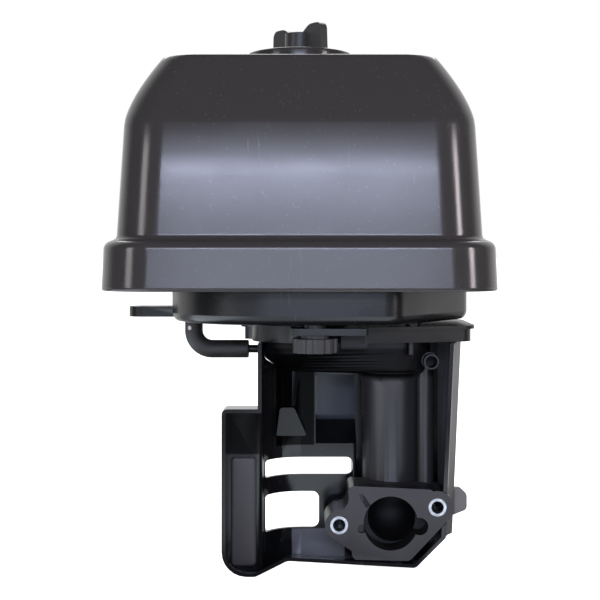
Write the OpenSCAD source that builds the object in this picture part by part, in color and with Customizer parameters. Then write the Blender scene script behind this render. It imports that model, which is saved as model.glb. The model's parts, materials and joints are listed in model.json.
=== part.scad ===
// Air filter housing of a small horizontal-shaft engine.
// A brimmed cover over a foam-wrapped paper element, a base pan, a moulded
// intake elbow with its carburettor flange, and an open carburettor shield.
// Origin: centre of the carburettor bore on the flange face. +Y runs into the
// duct, +Z is up and +X is to the right of somebody who faces the flange.

/* [Moulding] */
// Wall thickness of the plastic mouldings
wall = 2.2; // [1.8:0.1:2.6]
// Gap between pieces that don't touch
gap = 0.3; // [0.2:0.05:0.5]
// Radial clearance of a thread or a turning fit
fit = 0.06; // [0.03:0.01:0.1]

/* [Carburettor flange] */
// Radius of the carburettor bore
bore_r = 15.2; // [14.6:0.1:15.8]
// Length of the full round of the carburettor bore
bore_len = 18; // [15:0.5:19]
// Distance between the two carburettor studs
stud_span = 56; // [54:0.5:58]
// Tilt of the line through the two studs
stud_tilt = 10.2; // [6:0.2:12]
// Depth of the flange block
flange_t = 29; // [26:0.5:31]
// Outer radius of the steel stud collars
sleeve_or = 5; // [4.6:0.1:5.4]
// Inner radius of the steel stud collars
sleeve_ir = 3.5; // [3.2:0.1:3.8]
// Radius of the left ear of the flange
ear_left_r = 8; // [7.5:0.1:8.5]
// Radius of the right ear of the flange
ear_right_r = 9.2; // [8.6:0.1:9.6]

/* [Elbow] */
// Place of the upright duct along X
duct_x = 2.2; // [1:0.2:3]
// Place of the upright duct along Y
duct_y = 35; // [33:0.5:37]
// Inner radius of the upright duct
duct_r = 14.4; // [13.8:0.1:14.6]
// Outer radius of the plenum bowl
bowl_r = 24.5; // [24:0.1:25]
// Height of the plenum bowl
bowl_h = 18.5; // [17:0.5:20]
// Outer radius of the plenum collar
collar_r = 27.8; // [27:0.1:29]
// Height of the plenum collar
collar_h = 9.6; // [9:0.1:11]
// Height of the tray's rim
rim_h = 9.2; // [8:0.1:11]
// Outer radius of the engine breather's nipple
breather_r = 4.3; // [4:0.1:4.6]
// Bore radius of the engine breather's nipple
breather_bore_r = 3.4; // [3:0.1:3.5]

/* [Shield] */
// Left side of the carburettor bay along X
bay_left = -94.8; // [-100:0.2:-92]
// Left side of the bay's upper part along X
bay_neck = -74.5; // [-78:0.5:-73]
// Height of the step between the bay's two widths
bay_step = 64; // [60:1:70]
// Lowest edge of the bay
bay_bottom = -30; // [-34:1:-28]
// Right side of the bay at its front edge
bay_right = 35; // [34:0.2:36]
// How far the right side flares out on its way back
bay_flare = 12.5; // [8:0.5:14]
// Depth of the bay's back wall
bay_depth = 40; // [38:0.5:42]
// Depth of the bay's shallow left part
bay_shallow = 13.8; // [12:0.2:14]
// Radius of the round corner of the back wall
bay_corner_r = 22; // [18:0.5:22]
// Lowest edge of the upper lever slot
slot_z = 20.6; // [19:0.2:22]
// Height of the upper lever slot
slot_h = 10.1; // [8:0.1:12]
// Lowest edge of the lower lever opening
window_z = -10.8; // [-12:0.2:-9]
// Height of the lower lever opening
window_h = 21.3; // [18:0.1:24]

/* [Base pan] */
// Height of the pan's underside over the carburettor bore
pan_z = 112; // [110:0.5:116]
// Height of the pan's wall
pan_h = 38; // [34:0.5:42]
// Thickness of the pan's floor
floor_t = 2.5; // [2:0.1:3]
// Radius of the pan's round bottom edge
pan_edge_r = 5; // [4:0.5:6]
// Height of the ring ribs that carry the element and the foam
seat_h = 7.5; // [6:0.5:9]
// Radius of the air opening in the pan's floor
throat_r = 21; // [19:0.5:22]
// Thickness of the seal between pan and plenum
seal_t = 1.8; // [1.5:0.1:2.5]
// Radius of the hole in the pan's ear
ear_hole_r = 3.3; // [3:0.1:4]
// Thickness of the pan's ear
ear_t = 6; // [5:0.5:7]

/* [Cover] */
// Place of the cover stud along X
stud_x = -51; // [-53:0.5:-49]
// Place of the cover stud along Y
stud_y = 32; // [31:0.5:33]
// Width of the brim
brim_w = 217.6; // [212:0.2:224]
// Depth of the brim
brim_d = 144; // [140:1:150]
// Height of the brim's lower edge over the pan's underside
brim_rise = 19; // [16:0.5:22]
// Height of the brim band
brim_h = 28; // [25:0.5:31]
// Height from the brim's lower edge to the flat top
cover_h = 130.5; // [128:0.5:136]
// Height of the bevelled crown
crown_h = 38; // [34:0.5:42]
// How far the crown draws in at the sides
crown_side = 20; // [16:0.5:24]
// How far the crown draws in at the front and back
crown_front = 17; // [14:0.5:20]
// How far the wall stands inside the brim
shoulder = 7.7; // [6.5:0.1:9]
// Radius of the raised pad under the knob
pad_r = 30.5; // [28:0.5:33]
// Height of the raised pad
pad_h = 6; // [4:0.5:7]

/* [Element] */
// Radius of the element's end caps
cap_r = 41; // [40:0.5:42]
// Height of the whole element
element_h = 94; // [88:1:97]
// Thickness of the end caps
cap_t = 4; // [3:0.5:5]
// Number of paper pleats
pleats = 48; // [36:1:60]
// Radius of the perforated core
core_r = 25.5; // [24.5:0.5:26]
// Thickness of the foam sleeve
foam_t = 5; // [4.6:0.2:5.6]

/* [Hardware] */
// Radius of the cover stud
stud_r = 3; // [2.5:0.1:3.2]
// Radius of the cover knob's hub
knob_r = 8.6; // [8:0.1:9.5]
// Height of the cover knob's hub
knob_h = 12; // [11:0.5:14]
// Span of the cover knob's wings
wing_span = 46; // [42:1:50]
// Radius of the fluted clamp nut
clamp_r = 12.7; // [12:0.1:13.5]
// Height of the fluted clamp nut
clamp_h = 9.6; // [8:0.2:11]
// Outer radius of the breather hose
hose_r = 5.3; // [5:0.1:5.8]
// Bore radius of the breather hose
hose_bore_r = 2.4; // [2.2:0.1:2.8]
// Bend radius of the breather hose
hose_bend = 11; // [9:0.5:12]

/* [Hidden] */
$fn = 48;
over = 1;

// Moulded plastic, satin on the cover and glossy on the elbow
satin = [0.20, 0.195, 0.205];
gloss = [0.11, 0.11, 0.12];
zinc = [0.72, 0.73, 0.75];
brass = [0.78, 0.66, 0.36];
rubber = [0.08, 0.08, 0.08];

// Heights of the stack over the carburettor bore
collar_top = pan_z - seal_t;
collar_bot = collar_top - collar_h;
bowl_bot = collar_bot - bowl_h;
floor_top = pan_z + floor_t;
seat_z = floor_top + seat_h;
pan_top = pan_z + pan_h;
brim_z = pan_z + brim_rise;
top_z = brim_z + cover_h;
pad_top = top_z + pad_h;
element_top = seat_z + gap + element_h;

// The stud collars and the ears round them
stud_mid = [-1.3, 4];
stud_step = [cos(stud_tilt), sin(stud_tilt)] * stud_span / 2;
stud_left = stud_mid - stud_step;
stud_right = stud_mid + stud_step;

// The elbow's duct, tray and fastenings
duct_or = duct_r + wall;
link_end_r = duct_or + 7;
link_edge_r = 4;
fillet_r = 8.5;
dish_h = 0.66 * bowl_h;
dish_steps = 10;
tray_t = 2;
tray_top = collar_top - gap;
tongue_t = 3.8;
tongue_z = tray_top - tongue_t;
rim_bot = tray_top - rim_h;
clamp_xy = [stud_x + 8.5, stud_y - 40];
clamp_cap_t = 1.6;
clamp_tip = tongue_z - clamp_h + clamp_cap_t + gap;
screw_xy = [[duct_x + 10.3, duct_y - 23.8], [duct_x + 18, duct_y + 39]];
screw_tip = rim_bot - 7;
screw_r = 1.9;
screw_head_r = 3.4;
screw_head_h = 2.6;
boss_r = 3.6;
breather_x = duct_x + 21.6;
breather_z = bowl_bot + 7.6;
breather_mouth = duct_y - 26;
breather_len = 9;

// The hose between the pan's drain nipple and the bowl
drain_xy = [stud_x - 63, stud_y + 13];
hose_z = collar_bot - hose_r - 0.9;
drain_tip = hose_z + hose_bend + 0.5;
nipple_r = hose_bore_r - fit;
nipple_bore_r = 1.4;
bowl_side = stud_x - sqrt(bowl_r * bowl_r - pow(drain_xy.y - stud_y, 2));
hose_end = bowl_side - 9.5;
nipple_tip = hose_end - 8;

// The shield's bay, with the deep part behind the duct
bay_deep = duct_y + duct_or + 12;
bay_top = rim_bot - gap;
deep_left = duct_x - duct_or - 3;
shield_screw_z = [bowl_bot - 14, bowl_bot - 62];
pocket_left = stud_x + 9.4;

// The element's inner sizes
foam_ir = cap_r + gap;
foam_r = foam_ir + foam_t;
foam_seat_r = foam_r - 1.4;
pleat_r = cap_r - 2;
pleat_core_gap = 0.5;
washer_t = 1.5;
ledge_r = core_r + 6;

// Knob and nut details
insert_r = 5;
washer_h = 2;
roof_t = 1.6;
wing_t = 4.7;
wing_turn = -53;
nut_across = 10;
clamp_head = 8.4;

function unit(v) = v / norm(v);
function flat(p) = [p.x, p.y];
function at(v, i) = v[(i + len(v)) % len(v)];
function arc_step(a, b) = ((b - a + 540) % 360) - 180;

// A polygon of [x, y, radius] corners with every corner rounded by an arc
function rounded(v, n = 6) = [for (i = [0:len(v) - 1]) let (
        q = flat(v[i]),
        r = v[i].z,
        u = unit(flat(at(v, i - 1)) - q),
        w = unit(flat(at(v, i + 1)) - q),
        half = acos(u * w) / 2,
        c = q + unit(u + w) * r / sin(half),
        p1 = q + u * r / tan(half) - c,
        p2 = q + w * r / tan(half) - c,
        a1 = atan2(p1.y, p1.x),
        da = arc_step(a1, atan2(p2.y, p2.x)))
    each r <= 0 ? [q] : [for (k = [0:n]) c + r * [cos(a1 + da * k / n), sin(a1 + da * k / n)]]];

// The same polygon moved outwards by d, with its corner radii kept concentric
function grow(v, d) = [for (i = [0:len(v) - 1]) let (
        e1 = unit(flat(v[i]) - flat(at(v, i - 1))),
        e2 = unit(flat(at(v, i + 1)) - flat(v[i])),
        n1 = [e1.y, -e1.x],
        n2 = [e2.y, -e2.x],
        p = flat(v[i]) + (n1 + n2) * d / (1 + n1 * n2),
        side = cross(e1, e2) > 0 ? 1 : -1)
    [p.x, p.y, v[i].z <= 0 ? 0 : max(0.2, v[i].z + side * d)]];

// The outline round two circles, with straight sides between them
function pair(a, ra, b, rb, n = 14) = let (
        way = atan2(b.y - a.y, b.x - a.x),
        t = acos((ra - rb) / norm(b - a)))
    concat([for (k = [0:n]) let (c = way + t + (360 - 2 * t) * k / n) a + ra * [cos(c), sin(c)]],
        [for (k = [0:n]) let (c = way - t + 2 * t * k / n) b + rb * [cos(c), sin(c)]]);

function lift(v, z) = [for (p = v) [p.x, p.y, z]];

// A closed skin through rings of equally many points, from the lowest ring up.
// A ring's first point sees all its others, since its ends are closed by a fan from there
module loft(rings) {
    n = len(rings[0]);
    m = len(rings);
    sides = [for (i = [0:m - 2], j = [0:n - 1]) let (k = (j + 1) % n)
        each [[i * n + j, (i + 1) * n + j, (i + 1) * n + k], [i * n + j, (i + 1) * n + k, i * n + k]]];
    low = [for (j = [0:n - 1]) j];
    high = [for (j = [n:-1:1]) (m - 1) * n + j % n];
    polyhedron([for (r = rings) each r], concat(sides, [low, high]));
}

// A flat outline in X and Z, as deep as d from y on
module plate_y(points, y, d) {
    translate([0, y + d, 0]) rotate([90, 0, 0]) linear_extrude(d) polygon(points);
}

module at_stud(z) {
    translate([stud_x, stud_y, z]) children();
}

module pipe(r_out, r_in, h) {
    difference() {
        cylinder(r = r_out, h = h);
        translate([0, 0, -over]) cylinder(r = r_in, h = h + 2 * over);
    }
}

module rod_y(r, y, len) {
    translate([0, y, 0]) rotate([-90, 0, 0]) cylinder(r = r, h = len);
}

module rod_x(r, x, len) {
    translate([x, 0, 0]) rotate([0, 90, 0]) cylinder(r = r, h = len);
}

// Base pan

pan_left = stud_x - 75;
pan_right = stud_x + 100;
pan_front = stud_y - 54;
pan_back = stud_y + 54;
pan_plan = [[pan_left, pan_front, 58], [stud_x + 53, pan_front, 14], [pan_right, stud_y + 12, 18],
    [pan_right, pan_back, 20], [pan_left, pan_back, 40]];

// The pan's rings: a round bottom edge, then a straight wall up to the rim
function pan_rings(inset, low, high) = concat(
    [for (a = [0:22.5:90])
        lift(rounded(grow(pan_plan, -inset - pan_edge_r * (1 - sin(a)))), low + pan_edge_r * (1 - cos(a)))],
    [lift(rounded(grow(pan_plan, -inset)), high)]);

module spider() {
    arm_t = 3;
    for (a = [30:120:270]) rotate(a) translate([0, -arm_t / 2, 0]) cube([throat_r + 1, arm_t, floor_t + 3]);
    cylinder(r = 7, h = floor_t + 3);
}

ear_r = 9;
ear_xy = [pan_left - 18, stud_y + 18];
module ear() {
    ear_root = pan_left + wall + 0.4;
    translate([ear_xy.x, ear_xy.y, pan_z + 1.6]) {
        cylinder(r = ear_r, h = ear_t);
        translate([0, -ear_r, 0]) cube([ear_root - ear_xy.x, 2 * ear_r, ear_t]);
    }
}

module base_pan() {
    color(gloss) difference() {
        union() {
            difference() {
                loft(pan_rings(0, pan_z, pan_top));
                loft(pan_rings(wall, floor_top, pan_top + over));
                at_stud(pan_z - over) cylinder(r = throat_r, h = floor_t + 2 * over);
            }
            at_stud(pan_z) spider();
            at_stud(floor_top - 0.1) pipe(ledge_r + wall, ledge_r, seat_h + 0.1);
            at_stud(floor_top - 0.1) pipe(foam_seat_r, foam_seat_r - wall, seat_h + 0.1);
            ear();
            translate([drain_xy.x, drain_xy.y, drain_tip]) cylinder(r = nipple_r, h = pan_z + 1 - drain_tip);
            translate([clamp_xy.x, clamp_xy.y, tray_top])
                cylinder(r = 2 * stud_r, h = pan_z - tray_top + 0.5);
        }
        at_stud(pan_z - over) cylinder(r = stud_r + fit, h = floor_t + 10);
        translate([ear_xy.x, ear_xy.y, pan_z]) cylinder(r = ear_hole_r, h = 3 * ear_t);
        translate([drain_xy.x, drain_xy.y, drain_tip - over]) cylinder(r = nipple_bore_r, h = 20);
        translate([clamp_xy.x, clamp_xy.y, tray_top - over]) cylinder(r = stud_r + fit, h = 15);
        translate([clamp_xy.x, clamp_xy.y, floor_top])
            cylinder(r = clamp_head / (2 * cos(30)) + gap, h = seat_h + over);
        for (p = screw_xy) translate([p.x, p.y, pan_z - over]) cylinder(r = screw_r + fit, h = 10);
    }
}

module pan_seal() {
    color(rubber) at_stud(collar_top) pipe(collar_r - 1, throat_r + 1.5, seal_t);
}

// Intake elbow: plenum, upright duct, carburettor flange and tray in one moulding

tray_right = duct_x + 45.8;
tray_left = stud_x - 32.5;
tray_back = duct_y + 52;
tray_lip = 2.2;
tray_plan = [[stud_x + 37, stud_y - 33, 2], [tray_right, duct_y - 17, 9], [tray_right, tray_back, 12],
    [tray_left, tray_back, 12], [tray_left, stud_y + 8, 4]];

// The passage from the plenum bowl to the upright duct, seen from above
function link_plan(d_bowl, d_duct) =
    pair([stud_x, stud_y], bowl_r - 0.3 + d_bowl, [duct_x, duct_y], link_end_r + d_duct);

// How far a round lower edge of radius e draws in at the height h
function edge_in(h, e) = h >= e ? 0 : e - sqrt(e * e - (e - h) * (e - h));

// One level of the passage: the bowl's dish at one end, a round lower edge at the other
function dish_rise(k) = dish_h * pow(k / dish_steps, 2);
function link_level(d, k) = link_plan(d - (bowl_r - 0.8 + d) * (1 - k / dish_steps),
    d - edge_in(dish_rise(k), link_edge_r));
function link_rings(d, low, high) = concat(
    [for (k = [0:dish_steps]) lift(link_level(d, k), low + dish_rise(k))],
    [lift(link_plan(d - 2, d), high)]);

module tray() {
    translate([0, 0, tray_top - tray_t]) linear_extrude(tray_t) polygon(rounded(grow(tray_plan, tray_lip)));
    translate([0, 0, rim_bot]) difference() {
        linear_extrude(rim_h) polygon(rounded(tray_plan));
        translate([0, 0, -over]) linear_extrude(rim_h + 2 * over) polygon(rounded(grow(tray_plan, -wall)));
    }
}

// The tongue over the hand nut, reaching forward from the collar to the tray, with a skirt beside the nut
module tongue() {
    left = clamp_xy.x - 13.2;
    right = tray_plan[0].x;
    front = clamp_xy.y - 6;
    skirt_x = clamp_xy.x + clamp_r + 2;
    skirt_h = 8.6;
    translate([0, 0, tongue_z]) linear_extrude(tongue_t) polygon(rounded([[left, front, 4], [right, front, 1],
        [right + 3, stud_y - 20, 0], [left, stud_y - 14, 0]]));
    translate([skirt_x, 0, tongue_z - skirt_h]) cube([right - skirt_x + 1, 4, skirt_h + 1]);
}

// The bowl, turned about the stud: a shallow dish under a side that draws in
module bowl_skin(r, low, high) {
    neck_r = r - 2;
    at_stud(0) rotate_extrude() polygon(concat(
        [[0, high]],
        [for (k = [0:dish_steps]) [r * k / dish_steps, low + dish_rise(k)]],
        [[neck_r, low + bowl_h], [neck_r, high]]));
}

flange_plan = [[-21.4, -20.3, 3], [10.8, -20.9, 4], [30.5, 1, 3], [24, 18.9, 4], [-23.9, 21.1, 3]];
flange_web = [[12, -19.6, 0], [stud_right.x + 6.8, stud_right.y - ear_right_r + 3, 0],
    [stud_right.x, stud_right.y, 0], [12, 0, 0]];
module flange_outline() {
    plate_y(rounded(flange_plan), 0, flange_t);
    translate([stud_left.x, 0, stud_left.y]) rod_y(ear_left_r, 0, flange_t);
    translate([stud_right.x, 0, stud_right.y]) rod_y(ear_right_r, 0, flange_t);
    plate_y([[stud_left.x - 4.3, stud_left.y - ear_left_r + 1.25], [-21.6, -15.6], [-12, 7],
        [stud_left.x, stud_left.y + ear_left_r - 0.1]], 0, flange_t);
    plate_y([[-22, 5], [-23, 15], [-24.1, 11], [-26, 8.3], [stud_left.x, stud_left.y + ear_left_r]],
        0, flange_t);
    plate_y(rounded(flange_web), 0, flange_t);
}

// Recesses in the flange's face: two reliefs beside the bore and a short groove
module flange_recesses() {
    relief_r = 4.9;
    groove_r = 1.4;
    groove_len = 7;
    groove_turn = -122;
    translate([bore_r + 1, 0, -1.7]) rod_y(relief_r, -over, over + bore_len - 2);
    translate([-bore_r - 0.9, 0, -3]) rod_y(2.5, -over, over + 3);
    translate([-bore_r + 2.7, 0, 9.4]) rotate([0, groove_turn, 0]) {
        translate([0, -over, -groove_r]) cube([groove_len, over + groove_r, 2 * groove_r]);
        translate([groove_len, 0, 0]) rod_y(groove_r, -over, over + groove_r);
    }
}

// The post beside the duct that carries the engine breather's nipple
module breather_column() {
    column_r = 5;
    column_x = duct_x + 19.7;
    column_y = duct_y - 8;
    column_low = 12;
    web_t = 3;
    shoulder_r = breather_r + 0.5;
    shoulder_y = breather_mouth + breather_len;
    translate([column_x, column_y, column_low]) cylinder(r = column_r, h = breather_z + 4.5 - column_low);
    translate([duct_x + duct_r / 2, column_y + 1, column_low]) cube([duct_r, web_t, breather_z - column_low]);
    translate([breather_x, 0, breather_z]) {
        rod_y(breather_r, breather_mouth, column_y - breather_mouth + web_t);
        rod_y(shoulder_r, shoulder_y, column_y - shoulder_y + 2);
    }
}

// The round corner between the duct and the underside of the passage
module duct_fillet() {
    low = bowl_bot + 1 - fillet_r;
    intersection() {
        translate([duct_x, duct_y, 0]) rotate_extrude() polygon(concat(
            [[duct_r + 0.5, low + fillet_r + 2], [duct_r + 0.5, low]],
            [for (a = [0:15:90]) [duct_or + fillet_r * (1 - cos(a)), low + fillet_r * sin(a)]],
            [[duct_or + fillet_r, low + fillet_r + 2]]));
        translate([0, 0, low - over]) linear_extrude(3 * fillet_r) polygon(link_level(-0.3, 3));
    }
}

module elbow_solid() {
    shield_boss = duct_y + duct_r + 0.5;
    at_stud(collar_bot) cylinder(r = collar_r, h = collar_h);
    bowl_skin(bowl_r, bowl_bot, collar_bot + 0.2);
    loft(link_rings(0, bowl_bot, collar_bot - 0.2));
    duct_fillet();
    translate([duct_x, duct_y, 0]) cylinder(r = duct_or, h = collar_bot - 0.4);
    translate([duct_x, duct_y, 0]) sphere(r = duct_or + 0.6);
    flange_outline();
    breather_column();
    tray();
    tongue();
    for (p = screw_xy) translate([p.x, p.y, rim_bot]) cylinder(r = boss_r, h = pan_z - rim_bot);
    for (z = shield_screw_z) translate([duct_x, 0, z]) rod_y(boss_r, shield_boss, bay_deep - shield_boss);
    translate([0, drain_xy.y, hose_z]) rod_x(nipple_r, nipple_tip, bowl_side - nipple_tip + 2);
}

module elbow_passages() {
    bowl_skin(bowl_r - wall, bowl_bot + wall, collar_top + over);
    loft(link_rings(-wall, bowl_bot + wall, collar_bot - 0.2 - wall));
    translate([duct_x, duct_y, 0]) cylinder(r = duct_r, h = collar_bot - 0.6 - wall);
    translate([duct_x, duct_y, 0]) sphere(r = duct_r + 0.3);
    translate([duct_x, 0, 0]) rod_y(duct_r - 0.3, bore_len - over, duct_y - bore_len + over);
    rod_y(bore_r, -over, bore_len + over);
    for (p = [stud_left, stud_right])
        translate([p.x, 0, p.y]) rod_y(sleeve_or + fit / 2, -over, flange_t + 2 * over);
    flange_recesses();
    translate([breather_x, 0, breather_z]) rod_y(breather_bore_r, breather_mouth - over, 14);
    for (p = screw_xy)
        translate([p.x, p.y, rim_bot - over]) cylinder(r = screw_r + fit, h = pan_z - rim_bot + 2 * over);
    for (z = shield_screw_z) translate([duct_x, 0, z]) rod_y(screw_r + fit, bay_deep - 9, 10);
    translate([0, drain_xy.y, hose_z]) rod_x(nipple_bore_r, nipple_tip - over, bowl_side - nipple_tip + 8);
    translate([clamp_xy.x, clamp_xy.y, tongue_z - over]) cylinder(r = stud_r + fit, h = tongue_t + 2 * over);
    translate([clamp_xy.x, clamp_xy.y, collar_bot - over])
        cylinder(r = clamp_r + 1, h = tongue_z - collar_bot + over);
}

module intake_elbow() {
    color(gloss) difference() {
        elbow_solid();
        elbow_passages();
    }
}

module stud_collars() {
    color(zinc) for (p = [stud_left, stud_right]) translate([p.x, flange_t, p.y])
        rotate([90, 0, 0]) pipe(sleeve_or, sleeve_ir, flange_t);
}

// Carburettor shield: a bay that is open to the front, with its lever slots

bay_far = 40;
function bay_front(top) = [[bay_neck, bay_step, 0], [bay_left, bay_step, 3], [bay_left, bay_bottom, 14],
    [bay_left + 19, bay_bottom, 5], [bay_left + 37, bay_bottom + 9, 6], [14, bay_bottom + 5, 4],
    [32, bay_bottom + 23, 4], [bay_right + bay_far, bay_bottom + 22, 0], [bay_right + bay_far, top, 0],
    [bay_neck, top, 0]];
bay_plan = [[bay_left - bay_far, -over, 0], [bay_right + bay_far, -over, 0],
    [bay_right + bay_far, bay_deep + bay_far, 0], [deep_left, bay_deep + bay_far, 0],
    [deep_left, bay_depth, 2], [bay_neck + wall, bay_depth, bay_corner_r], [bay_neck + wall, bay_shallow, 4],
    [bay_left - bay_far, bay_shallow, 0]];

// The flared right side and the deep back, which lean outwards towards the top
bay_slope = bay_flare / bay_deep;
bay_lean = 2.6;
bay_fall = 0.19;
lean_z = 90;
side_plan = [[bay_left - bay_far, -over, 0], [bay_right - wall - over * bay_slope, -over, 0],
    [bay_right - wall + bay_flare, bay_deep, 6], [bay_left - bay_far, bay_deep, 0]];

ledge_low = slot_z + slot_h + 8;
pocket_top = bowl_bot - wall - gap;
pocket_plan = [[bay_depth - over, ledge_low - 0.5, 0], [bay_deep, ledge_low + 12.7, 3],
    [bay_deep, pocket_top, 3], [bay_depth - over, pocket_top, 0]];

// The front outline drawn backwards from y, with its lower edge falling on the way
module bay_front_run(d, top, y) {
    run = 2 * bay_deep;
    front = rounded(grow(bay_front(top), d));
    back = [for (p = front) [p.x, p.y < 0 ? p.y - bay_fall * run : p.y]];
    rotate([90, 0, 0]) loft([lift(back, -y - run), lift(front, -y)]);
}

// The bay cut from its front outline, its plan and its leaning side, each moved out by d
module bay(d, top, y) {
    intersection() {
        bay_front_run(d, top, y);
        translate([0, 0, 2 * bay_bottom]) linear_extrude(bay_top - 4 * bay_bottom)
            polygon(rounded(grow(bay_plan, d + wall)));
        translate([bay_right, 0, lean_z]) rotate([0, bay_lean, 0]) translate([-bay_right, 0, 0])
            linear_extrude(3 * bay_top, center = true) polygon(rounded(grow(side_plan, d + wall)));
    }
}

// The deeper window under the bowl, with its sloping lower ledge
module pocket(outline, x0) {
    translate([x0, 0, 0]) rotate([90, 0, 90]) linear_extrude(deep_left + over - x0) polygon(rounded(outline));
}

module lever_openings() {
    slot_left = bay_neck + 3.5;
    slot_right = deep_left - 2.2;
    window_right = slot_left + 31.4;
    cut_y = bay_shallow + 1;
    for (cut = [[slot_right, slot_z, slot_h], [window_right, window_z, window_h]])
        plate_y(rounded([[slot_left, cut.y, 1.5], [cut.x, cut.y, 4], [cut.x, cut.y + cut.z, 4],
            [slot_left, cut.y + cut.z, 1.5]]), cut_y, bay_depth);
}

// Room for the bowl, the passage, the collar and the flange with its right ear
module elbow_room() {
    bowl_skin(bowl_r + gap, bowl_bot - gap, bay_top + over);
    translate([0, 0, bowl_bot - gap]) linear_extrude(bay_top) intersection() {
        polygon(link_plan(gap, gap));
        translate([stud_x, stud_y - 2 * bowl_r]) square(4 * bowl_r);
    }
    at_stud(collar_bot - gap) cylinder(r = collar_r + gap, h = bay_top);
    translate([stud_right.x, 0, stud_right.y]) rod_y(ear_right_r + gap, -over, flange_t + over + gap);
    for (v = [flange_plan, flange_web]) plate_y(rounded(grow(v, gap)), -over, flange_t + over + gap);
}

// The raised panel in the shallow left part, with its front edges rounded
module raised_panel() {
    edge = 2;
    raise = 3;
    x0 = bay_left + 4.6;
    x1 = bay_neck - 1.1;
    low = bay_bottom + 3;
    high = bay_step - 28.5;
    plan = [[x0, low, 3], [x1, low, 3], [x1, high, 3], [x0, high, 3]];
    rotate([90, 0, 0]) loft(concat(
        [lift(rounded(plan), -bay_shallow - 0.3)],
        [for (a = [0:30:90]) lift(rounded(grow(plan, -edge * (1 - cos(a)))),
            raise - edge * (1 - sin(a)) - bay_shallow)]));
}

// The flat step in the round corner of the back wall
module corner_step() {
    foot = ledge_low + 6;
    plate_y(rounded([[bay_neck + 9.9, foot, 1], [bay_neck + 27.7, foot, 1], [bay_neck + 20.3, foot + 16.4, 2],
        [bay_neck + 12, foot + 16.4, 2]]), bay_depth - 10, 2 * wall + 10);
}

module lug() {
    root = bay_right + 6;
    out = root + 9.2;
    plate_y(rounded([[root, -7.5, 0], [out, -3.8, 3], [out, 5.5, 3], [root + 5, 9.2, 2], [root, 9.2, 0]]),
        bay_deep - 7, 5);
}

module carb_shield() {
    color(gloss) difference() {
        union() {
            difference() {
                union() {
                    bay(0, bay_top, 0);
                    pocket(grow(pocket_plan, wall), pocket_left - wall);
                }
                bay(-wall, bay_top + 2 * wall + over, -over);
                pocket(pocket_plan, pocket_left);
            }
            raised_panel();
            intersection() {
                bay(0, bay_top, 0);
                corner_step();
            }
            lug();
        }
        lever_openings();
        elbow_room();
        for (z = shield_screw_z)
            translate([duct_x, 0, z]) rod_y(screw_r + fit, bay_deep - over, wall + 2 * over);
    }
}

module cover_stud() {
    color(zinc) at_stud(pan_z - 8) cylinder(r = stud_r, h = pad_top + 9 - pan_z + 8);
}

module hex_nut(z, h) {
    translate([0, 0, z]) difference() {
        cylinder(d = nut_across / cos(30), h = h, $fn = 6);
        translate([0, 0, -over]) cylinder(r = stud_r + fit, h = h + 2 * over);
    }
}

// One nut under the pan's hub and one on top of it
module stud_nuts() {
    nut_h = 5;
    color(zinc) at_stud(0) {
        hex_nut(pan_z - nut_h, nut_h);
        hex_nut(floor_top + 3, nut_h);
    }
}

// Hose from the pan's drain nipple, round one bend, to the bowl's nipple
module hose_run(r, spare) {
    bend_x = drain_xy.x + hose_bend;
    bend_z = hose_z + hose_bend;
    translate([drain_xy.x, drain_xy.y, bend_z]) cylinder(r = r, h = pan_z - gap - bend_z + spare);
    translate([bend_x, drain_xy.y, bend_z]) rotate([90, 0, 0]) rotate(180)
        rotate_extrude(angle = 90) translate([hose_bend, 0]) circle(r = r);
    translate([0, drain_xy.y, hose_z]) rod_x(r, bend_x, hose_end - bend_x + spare);
}

module breather_hose() {
    color(rubber) difference() {
        hose_run(hose_r, 0);
        hose_run(hose_bore_r, over);
    }
}

module clamp_stud() {
    color(zinc) translate([clamp_xy.x, clamp_xy.y, 0]) {
        translate([0, 0, clamp_tip]) cylinder(r = stud_r, h = floor_top - clamp_tip + 1);
        translate([0, 0, floor_top]) cylinder(d = clamp_head / cos(30), h = 4, $fn = 6);
    }
}

module screw(len) {
    cylinder(r = screw_head_r, h = screw_head_h);
    translate([0, 0, -len]) cylinder(r = screw_r, h = len + 1);
}

module pan_screws() {
    color(zinc) for (p = screw_xy) translate([p.x, p.y, floor_top]) screw(floor_top - screw_tip);
}

module shield_screws() {
    grip = 8;
    color(zinc) for (z = shield_screw_z)
        translate([duct_x, bay_deep + wall, z]) rotate([-90, 0, 0]) screw(grip);
}

// Filter element: pleated paper round a perforated core between two end caps

function zigzag(r_in, r_out) = [for (i = [0:2 * pleats - 1])
    let (r = i % 2 == 0 ? r_out : r_in, a = 180 * i / pleats) r * [cos(a), sin(a)]];

module element_pleats() {
    paper_t = 1.2;
    inner = core_r + pleat_core_gap;
    color([0.87, 0.80, 0.62]) at_stud(seat_z + gap + cap_t) difference() {
        linear_extrude(element_h - 2 * cap_t) polygon(zigzag(inner + paper_t, pleat_r));
        translate([0, 0, -over]) linear_extrude(element_h) polygon(zigzag(inner, pleat_r - paper_t));
    }
}

module element_top_cap() {
    color([0.16, 0.16, 0.17]) at_stud(element_top - cap_t) pipe(cap_r, stud_r + 0.8, cap_t);
}

module element_bottom_cap() {
    color([0.16, 0.16, 0.17]) at_stud(seat_z + gap) pipe(cap_r, core_r - 2, cap_t);
}

// Perforated tube with rows of windows
module element_core() {
    core_t = 1;
    rows = 6;
    pitch = (element_h - 2 * cap_t) / rows;
    color(zinc) at_stud(seat_z + gap + cap_t) difference() {
        pipe(core_r, core_r - core_t, element_h - 2 * cap_t);
        for (k = [0:rows - 1], a = [0:30:150]) translate([0, 0, (k + 0.5) * pitch]) rotate(a)
            cube([2 * core_r + 2 * over, 6, pitch - 4], center = true);
    }
}

module element_seal() {
    color(rubber) at_stud(seat_z) pipe(ledge_r + wall + 1, ledge_r - 1, gap);
}

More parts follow.
